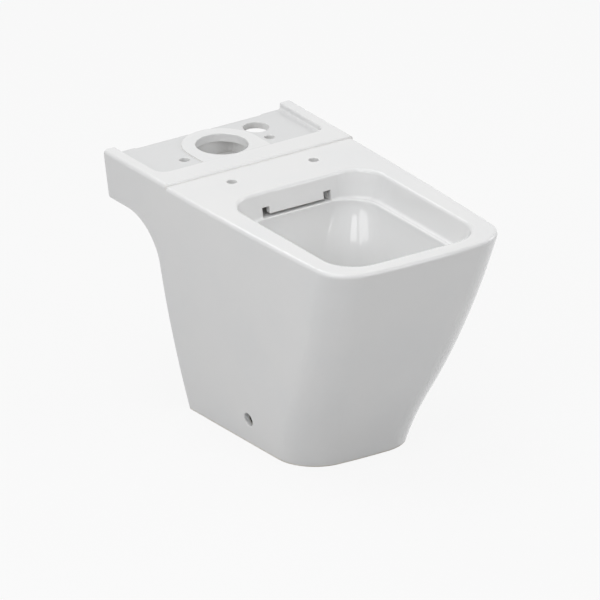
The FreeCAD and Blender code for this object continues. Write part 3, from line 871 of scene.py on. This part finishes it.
@dataclass
class Studio:
    """A pale floor, soft lamps and a camera that sees in parallel, as the drawing does."""

    azimuth: float = -34.265
    elevation: float = 23.161
    pixels: float = 600.0
    pixels_per_mm: float = 0.639
    target: Spot = (0.0, 0.0323, 0.2063)
    distance: float = 6.0
    paper: Colour = (1.0, 1.0, 1.0)
    floor_size: float = 60.0
    floor_tone: Colour = (0.62, 0.62, 0.62)
    floor_paper: float = 0.88
    air_low: Colour = (0.13, 0.13, 0.135)
    air_high: Colour = (0.48, 0.48, 0.48)
    air_span: Span = (0.05, 0.75)
    lamps: Sequence[Lamp] = (
        Lamp("top_light", (-0.8, 0.0, 3.1), 1.6, 1.6, 21.0),
        Lamp("left_light", (-2.8, -0.5, 1.7), 1.4, 1.6, 20.0),
        Lamp("window_light", (-2.2, -1.7, 2.6), 0.9, 1.2, 13.0),
        Lamp("front_light", (1.4, -3.0, 1.4), 1.2, 1.8, 18.0),
        Lamp("right_light", (2.8, -0.4, 1.8), 1.4, 1.6, 17.0),
        Lamp("back_light", (0.3, 2.3, 2.9), 2.0, 1.0, 14.0),
    )

    def build(self) -> None:
        """Set up the whole studio."""
        scene = bpy.context.scene
        scene.view_settings.view_transform = "Standard"
        self.build_floor()
        self.build_world(scene)
        for lamp in self.lamps:
            self.build_lamp(lamp)
        self.build_camera(scene)

    def build_floor(self) -> None:
        """Lay the floor, which the camera sees paler than it shines on the pan."""
        bpy.ops.mesh.primitive_plane_add(size=self.floor_size)
        floor = bpy.context.object
        floor.name = "studio_floor"
        material = bpy.data.materials.new("studio_floor")
        sheet = ShaderSheet(material)
        paint = sheet.add("ShaderNodeBsdfDiffuse", inputs={"Color": (*self.floor_tone, 1.0)})
        paper = sheet.add("ShaderNodeEmission", inputs={"Color": (*self.paper, 1.0)})
        seen = self.seen(sheet) * self.floor_paper
        sheet.surface(sheet.add("ShaderNodeMixShader", inputs={0: seen, 1: paint, 2: paper}))
        floor.data.materials.append(material)

    @staticmethod
    def seen(sheet: ShaderSheet) -> Signal:
        """What the camera sees straight, in gloss or through glass.

        Args:
            sheet: The sheet to write on.

        Returns:
            One for what is seen so, and 0 for what only lights the pan.
        """
        path = sheet.add("ShaderNodeLightPath", output="Is Camera Ray")
        mirrored = sheet.highest(path, path.out("Is Glossy Ray"))
        return sheet.highest(mirrored, path.out("Is Transmission Ray"))

    def build_world(self, scene: bpy.types.Scene) -> None:
        """Light the pan softly from all round, least from low down, in front of a white background.

        Args:
            scene: The scene that gets the world.
        """
        scene.world = bpy.data.worlds.new("studio_air")
        sheet = ShaderSheet(scene.world)
        rise = sheet.axes(sheet.add("ShaderNodeTexCoord", output="Generated"))[2]
        light = sheet.blend(sheet.step(rise, self.air_span), self.air_low, self.air_high)
        air = sheet.add("ShaderNodeBackground", inputs={"Color": light})
        paper = sheet.add("ShaderNodeBackground", inputs={"Color": (*self.paper, 1.0)})
        shown = sheet.add("ShaderNodeMixShader", inputs={0: self.seen(sheet), 1: air, 2: paper})
        sheet.add("ShaderNodeOutputWorld", inputs={"Surface": shown})

    def build_lamp(self, lamp: Lamp) -> None:
        """Hang one soft box.

        Args:
            lamp: Its name, place, size and power.
        """
        bpy.ops.object.light_add(type="AREA", location=lamp.spot)
        box = bpy.context.object
        box.name = lamp.name
        box.data.shape = "RECTANGLE"
        box.data.size = lamp.width
        box.data.size_y = lamp.height
        box.data.energy = lamp.watts
        aim = Vector(self.target) - Vector(lamp.spot)
        box.rotation_euler = aim.to_track_quat("-Z", "Y").to_euler()

    def build_camera(self, scene: bpy.types.Scene) -> None:
        """Put the camera at the drawing's angle and scale.

        Args:
            scene: The scene that the camera is for.
        """
        turn = math.radians(self.azimuth)
        rise = math.radians(self.elevation)
        level = math.cos(rise)
        back = Vector((math.sin(turn) * level, -math.cos(turn) * level, math.sin(rise)))
        bpy.ops.object.camera_add(location=Vector(self.target) + back * self.distance)
        camera = bpy.context.object
        camera.name = "drawing_camera"
        camera.rotation_euler = back.to_track_quat("Z", "Y").to_euler()
        camera.data.type = "ORTHO"
        camera.data.ortho_scale = self.pixels / self.pixels_per_mm * MM
        scene.camera = camera


# The pan


@dataclass
class ChinaPan:
    """The castings of the pan, which keep their CAD shapes."""

    china: GlazedChina = GlazedChina()
    castings: Sequence[tuple[str, Glazing]] = (
        ("rim_and_deck", Glazing.ABOVE),
        ("outer_skirt", Glazing.OUTSIDE),
        ("flush_ring", Glazing.INSIDE),
        ("bowl", Glazing.INSIDE),
        ("trapway", Glazing.BORE),
        ("outlet_spigot", Glazing.ABOVE),
        ("flush_channel", Glazing.TROUGH),
    )

    def dress(self) -> None:
        """Give each casting its own glaze."""
        for node, glazing in self.castings:
            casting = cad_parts[node]
            material = self.china.material("china_" + node, glazing)
            for slot in casting.material_slots:
                slot.material = material
            LOG.info("dressed %s, glazed %s", node, glazing.value)


# The floor fixing


class Side(Enum):
    """The side of the pan that a fixing is on."""

    RIGHT = "right"
    LEFT = "left"


@dataclass
class FloorFixing:
    """The brackets inside the foot, with the dowels and screws that hold the pan to them.

    Each piece is made on the right, where its CAD node is. What turns is made upright round the
    screw, with the underside of the screw's head at the origin, and is then laid in its place.
    """

    # How far joined solids overlap, and how far a cutter reaches past what it cuts
    overlap: float = 0.001
    past: float = 0.005

    # Bracket
    upright: float = 0.016
    base_height: float = 0.009
    rib_width: float = 0.006
    rib_drop: float = 0.006
    rib_toe: float = 0.006
    floor_hole_in: float = 0.020
    floor_hole_gap: float = 0.010
    floor_hole_r: float = 0.0045
    pad_width: float = 0.0035
    pad_height: float = 0.0015
    pad_sides: int = 40
    collar_r: float = 0.0105
    collar_sides: int = 48
    hole_sides: int = 32
    nut_play: float = 0.0004
    bore_play: float = 0.0006
    bracket_edge: float = 0.0006
    bracket_edge_flats: int = 2

    # Dowel
    dowel_r: float = 0.0104
    dowel_bore_r: float = 0.0084
    dowel_sides: int = 48
    dowel_ribs: int = 8
    dowel_rib: float = 0.0004
    dowel_rib_in: float = 0.0003
    dowel_lead: float = 0.0016
    dowel_lead_in: float = 0.0009
    dowel_mouth: float = 0.0004

    # Screw, whose thread's depth and flats are shares of its pitch
    screw_r: float = 0.004
    pitch: float = 0.00125
    thread_depth: float = 0.61
    root_flat: float = 0.25
    crest_flat: float = 0.125
    thread_steps: int = 32
    tip_share: float = 0.8
    blank_share: float = 1.05
    head_r: float = 0.0065
    head_edge: float = 0.0006
    head_edge_flats: int = 3
    knurl_in: float = 0.00012
    knurl_depth: float = 0.0002
    socket: float = 0.006
    socket_depth: float = 0.004
    round_sides: int = 64

    # Washer and nut
    washer_r: float = 0.008
    washer_hole_r: float = 0.0044
    washer_burr: float = 0.0001
    washer_round: float = 0.0004
    washer_lead: float = 0.0003
    nut_flats: float = 0.013
    nut_chamfer: float = 0.6
    thread_play: float = 0.0001

    # How nearly a face points along an axis, or across it
    along: float = 0.9
    across: float = 0.1

    bracket_nylon: MouldedNylon = MouldedNylon(
        tone=(0.13, 0.135, 0.14), flow=(0.16, 0.165, 0.17), rub=(0.22, 0.225, 0.23)
    )
    # Black nylon, made near black so the hole that the dowel sits in reads as painted shade, like an
    # open hole
    dowel_nylon: MouldedNylon = MouldedNylon(tone=(0.018,) * 3, flow=(0.026,) * 3, rub=(0.05,) * 3)
    zinc: ZincPlate = ZincPlate()

    def measure(self) -> None:
        """Take the pieces' places from the CAD nodes on the right."""
        self.low, self.high = (Vector(corner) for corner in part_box("floor_bracket_right"))
        self.axis_y = (self.low.y + self.high.y) / 2.0
        washer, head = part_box("screw_washer_right")
        self.axis_z = (washer[2] + head[2]) / 2.0
        self.head_x = head[0]
        self.washer_height = head[0] - washer[0]
        self.dowel_ends = self.reach("locking_dowel_right")
        self.screw_ends = self.reach("dowel_screw_right")
        self.nut_ends = self.reach("bracket_nut_right")

    def reach(self, node: str) -> tuple[float, float]:
        """Where a node starts and ends along the screw, from the underside of the screw's head."""
        low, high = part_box(node)
        return low[0] - self.head_x, high[0] - self.head_x

    def build(self) -> None:
        """Make every piece on the right, and its twin on the left."""
        self.bench = Bench()
        self.measure()
        grey = self.bracket_nylon.material("bracket_nylon")
        # The near-black dowel nylon is partly painted shade for the hole in the foot
        shade_black = self.dowel_nylon.material("dowel_nylon")
        zinc = self.zinc.material("zinc_steel")
        self.install(self.bracket(), "floor_bracket", grey)
        self.install(self.dowel(), "locking_dowel", shade_black)
        self.install(self.screw(), "dowel_screw", zinc)
        self.install(self.washer(), "screw_washer", zinc)
        self.install(self.nut(), "bracket_nut", zinc)

    def install(self, piece: Piece, node: str, finish: bpy.types.Material) -> None:
        """Finish a piece, copy it to the other side, attach both to the body and hide the CAD nodes
        that they stand for.

        Args:
            piece: The piece on the right, in its place.
            node: The CAD node that it stands for, without its side.
            finish: The material.
        """
        name = piece.name
        piece.data.materials.clear()
        piece.data.materials.append(finish)
        self.bench.smooth(piece)
        self.bench.take(piece)
        bpy.ops.object.duplicate()
        twin = bpy.context.object
        middle = (0.0, self.axis_y, 0.0)
        bpy.ops.transform.rotate(value=math.pi, orient_axis="Z", center_override=middle)
        self.bench.settle(twin)
        for side, copy in ((Side.RIGHT, piece), (Side.LEFT, twin)):
            copy.name = f"{name}_{side.value}"
            copy.data.name = copy.name
            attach(copy, BODY)
            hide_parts(f"{node}_{side.value}")
            LOG.info("built %s, %d faces", copy.name, len(copy.data.polygons))

    def bracket(self) -> Piece:
        """A ribbed angle bracket, with pads round its floor holes and a collared pocket for the nut.

        Returns:
            The bracket, in its place.
        """
        bench = self.bench
        low, high = self.low, self.high
        inner = high.x - self.upright
        piece = bench.block("ribbed_bracket", (inner, low.y, low.z), tuple(high))
        bench.pick(piece, "faces")
        bpy.ops.mesh.bisect(plane_co=(0.0, 0.0, self.base_height), plane_no=(0.0, 0.0, 1.0))
        bench.pick(piece, "faces", self.is_heel)
        bpy.ops.mesh.extrude_region_move(TRANSFORM_OT_translate={"value": (low.x - inner, 0.0, 0.0)})
        bpy.ops.object.mode_set(mode="OBJECT")
        rib_top = high.z - self.rib_drop
        rise = rib_top - self.base_height
        run = inner - low.x - self.rib_toe
        for side in (low.y, high.y - self.rib_width):
            corner = (inner + self.overlap, side + self.rib_width, rib_top)
            rib = bench.block("rib", (low.x, side, self.base_height - self.overlap), corner)
            bench.slice(rib, (inner, 0.0, rib_top), (-rise, 0.0, run))
            bench.combine(piece, rib, "UNION")
        for sign in (-1.0, 1.0):
            spot = (low.x + self.floor_hole_in, self.axis_y + sign * self.floor_hole_gap, 0.0)
            self.drill(piece, spot)
        begin, end = self.nut_ends
        bore_r = self.screw_r + self.bore_play
        pocket_r = (self.nut_flats + self.nut_play) / math.sqrt(3.0)
        collar = bench.bar("collar", self.collar_r, begin - self.pad_height, end, self.collar_sides)
        bore = bench.bar("bore", bore_r, begin - self.past, 2.0 * self.past, self.hole_sides)
        pocket = bench.bar("pocket", pocket_r, begin - self.past, end, HEXAGON)
        for tool, way in ((collar, "UNION"), (bore, "DIFFERENCE"), (pocket, "DIFFERENCE")):
            bench.lay(tool, self.seat())
            bench.combine(piece, tool, way)
        bench.clean(piece)
        bench.soften(piece, self.bracket_edge, self.bracket_edge_flats)
        return piece

    def is_heel(self, part: bmesh.types.BMFace) -> bool:
        """Whether a face of the upright is the one that the base grows from."""
        return part.normal.x < -self.along and part.calc_center_median().z < self.base_height

    def drill(self, piece: Piece, spot: Spot) -> None:
        """Add the raised pad of a floor hole, and drill the hole.

        Args:
            piece: The bracket.
            spot: The hole's middle, on the floor.
        """
        bench = self.bench
        low = self.base_height - self.overlap
        top = self.base_height + self.pad_height
        pad = bench.bar("pad", self.floor_hole_r + self.pad_width, low, top, self.pad_sides)
        hole = bench.bar("hole", self.floor_hole_r, -2.0 * self.past, 4.0 * self.past, self.hole_sides)
        for tool, way in ((pad, "UNION"), (hole, "DIFFERENCE")):
            tool.location = spot
            bench.settle(tool)
            bench.combine(piece, tool, way)

    def seat(self) -> Spot:
        """Where the underside of the right screw's head is."""
        return self.head_x, self.axis_y, self.axis_z

    @staticmethod
    def flat(part: bmesh.types.BMFace, sides: int) -> int:
        """The number of the flat that a face is, counted round a piece with so many sides."""
        middle = part.calc_center_median()
        return round(math.atan2(middle.y, middle.x) / math.tau * sides - 0.5)

    def dowel(self) -> Piece:
        """A stepped sleeve with crush ribs, a lead-in and a deep seat for the screw's head.

        Returns:
            The dowel, in its place.
        """
        bench = self.bench
        inner, outer = self.dowel_ends
        seat = -self.washer_height
        outline = (
            (self.washer_hole_r, inner),
            (self.dowel_r, inner),
            (self.dowel_r, outer - self.dowel_lead),
            (self.dowel_r - self.dowel_lead_in, outer),
            (self.dowel_bore_r + self.dowel_mouth, outer),
            (self.dowel_bore_r, outer - self.dowel_mouth),
            (self.dowel_bore_r, seat),
            (self.washer_hole_r, seat),
        )
        piece = bench.turned("crush_dowel", outline, True, self.dowel_sides)
        bench.pick(piece, "faces", self.is_rib)
        bpy.ops.mesh.inset(thickness=self.dowel_rib_in, depth=self.dowel_rib, use_individual=True)
        bpy.ops.object.mode_set(mode="OBJECT")
        bench.lay(piece, self.seat())
        return piece

    def is_rib(self, part: bmesh.types.BMFace) -> bool:
        """Whether a face of the dowel is an outer one that carries a rib.

        Args:
            part: The face.

        Returns:
            Yes for every flat of the outside that has a rib.
        """
        middle = part.calc_center_median()
        outer = math.hypot(middle.x, middle.y) > self.dowel_r - self.dowel_rib
        flats_to_a_rib = self.dowel_sides // self.dowel_ribs
        return outer and self.flat(part, self.dowel_sides) % flats_to_a_rib == 0

    def thread(self, name: str, radius: float, low: float, high: float) -> Piece:
        """A threaded rod.

        Args:
            name: The piece's name.
            radius: The radius over the crests.
            low: The height of its lower end.
            high: The height of its upper end.

        Returns:
            The rod, closed at both ends. Its crests are at the same heights for any two ends.
        """
        bench = self.bench
        root = radius - self.thread_depth * self.pitch
        first = math.floor(low / self.pitch) - 1
        turns = math.ceil(high / self.pitch) + 1 - first
        half_root = self.root_flat / 2.0
        half_crest = self.crest_flat / 2.0
        rising = ((root, -half_root), (root, half_root), (radius, 0.5 - half_crest))
        falling = ((radius, 0.5 + half_crest), (root, 1.0 - half_root))
        points = [(across, (first + share) * self.pitch) for across, share in rising + falling]
        piece = bench.outline(name, points, False)
        settings = {
            "axis": "Z",
            "angle": math.tau,
            "screw_offset": self.pitch,
            "iterations": turns,
            "steps": self.thread_steps,
            "render_steps": self.thread_steps,
        }
        bench.alter(piece, "SCREW", settings)
        bench.close(piece)
        bench.slice(piece, (0.0, 0.0, low), (0.0, 0.0, -1.0))
        bench.slice(piece, (0.0, 0.0, high), (0.0, 0.0, 1.0))
        bench.close(piece)
        return piece

    def screw(self) -> Piece:
        """A socket-head screw, with a knurled head and a thread to its tip.

        Returns:
            The screw, in its place.
        """
        bench = self.bench
        tip, top = self.screw_ends
        piece = bench.bar("socket_screw", self.head_r, 0.0, top, self.round_sides)
        rim = top - self.head_edge
        bench.pick(piece, "edges", lambda part: all(corner.co.z > rim for corner in part.verts))
        bpy.ops.mesh.bevel(offset=self.head_edge, segments=self.head_edge_flats, affect="EDGES")
        bpy.ops.object.mode_set(mode="OBJECT")
        bench.pick(piece, "faces", self.is_groove)
        bpy.ops.mesh.inset(thickness=self.knurl_in, depth=-self.knurl_depth, use_individual=True)
        bpy.ops.object.mode_set(mode="OBJECT")
        key_r = self.socket / math.sqrt(3.0)
        key = bench.bar("key", key_r, top - self.socket_depth, 2.0 * self.past, HEXAGON)
        bench.combine(piece, key, "DIFFERENCE")
        rod = self.thread("rod", self.screw_r, tip - self.overlap, 2.0 * self.overlap)
        root = self.screw_r * self.tip_share
        crest = self.screw_r * self.blank_share
        lead = crest - root
        lower = ((0.0, tip), (root, tip), (crest, tip + lead))
        upper = ((crest, self.overlap), (0.0, self.overlap))
        blank = bench.turned("blank", lower + upper, False, self.round_sides)
        bench.combine(rod, blank, "INTERSECT")
        bench.combine(piece, rod, "UNION")
        bench.clean(piece)
        bench.lay(piece, self.seat())
        return piece

    def is_groove(self, part: bmesh.types.BMFace) -> bool:
        """Whether a side face of the screw's head is one of the knurl's grooves."""
        return abs(part.normal.z) < self.across and self.flat(part, self.round_sides) % 2 == 0

    def washer(self) -> Piece:
        """A punched washer, rounded on the side that the punch came from.

        Returns:
            The washer, in its place.
        """
        low = -self.washer_height
        outline = (
            (self.washer_hole_r, low),
            (self.washer_r - self.washer_burr, low),
            (self.washer_r, low + self.washer_burr),
            (self.washer_r, -self.washer_round),
            (self.washer_r - self.washer_burr, -self.washer_burr),
            (self.washer_r - self.washer_round, 0.0),
            (self.washer_hole_r + self.washer_lead, 0.0),
            (self.washer_hole_r, -self.washer_lead),
        )
        piece = self.bench.turned("plain_washer", outline, True, self.round_sides)
        self.bench.lay(piece, self.seat())
        return piece

    def nut(self) -> Piece:
        """A hexagon nut with chamfered corners and its own thread.

        Returns:
            The nut, in its place.
        """
        bench = self.bench
        low, high = self.nut_ends
        corner = self.nut_flats / math.sqrt(3.0)
        piece = bench.bar("hexagon_nut", corner, low, high, HEXAGON)
        flat = self.nut_flats / 2.0
        drop = (corner - flat) * self.nut_chamfer
        short = 2.0 * flat - corner
        lower = ((0.0, low - drop), (short, low - drop), (corner, low + drop))
        upper = ((corner, high - drop), (short, high + drop), (0.0, high + drop))
        blank = bench.turned("blank", lower + upper, False, self.round_sides)
        bench.combine(piece, blank, "INTERSECT")
        rod_r = self.screw_r + self.thread_play
        rod = self.thread("rod", rod_r, low - self.overlap, high + self.overlap)
        bench.combine(piece, rod, "DIFFERENCE")
        bench.clean(piece)
        bench.lay(piece, self.seat())
        return piece


def main() -> None:
    """Build the studio, then dress the pan and its floor fixing."""
    logging.basicConfig(level=logging.INFO, format="%(message)s")
    bpy.ops.object.select_all(action="DESELECT")
    Studio().build()
    ChinaPan().dress()
    FloorFixing().build()


if __name__ == "__main__":
    main()
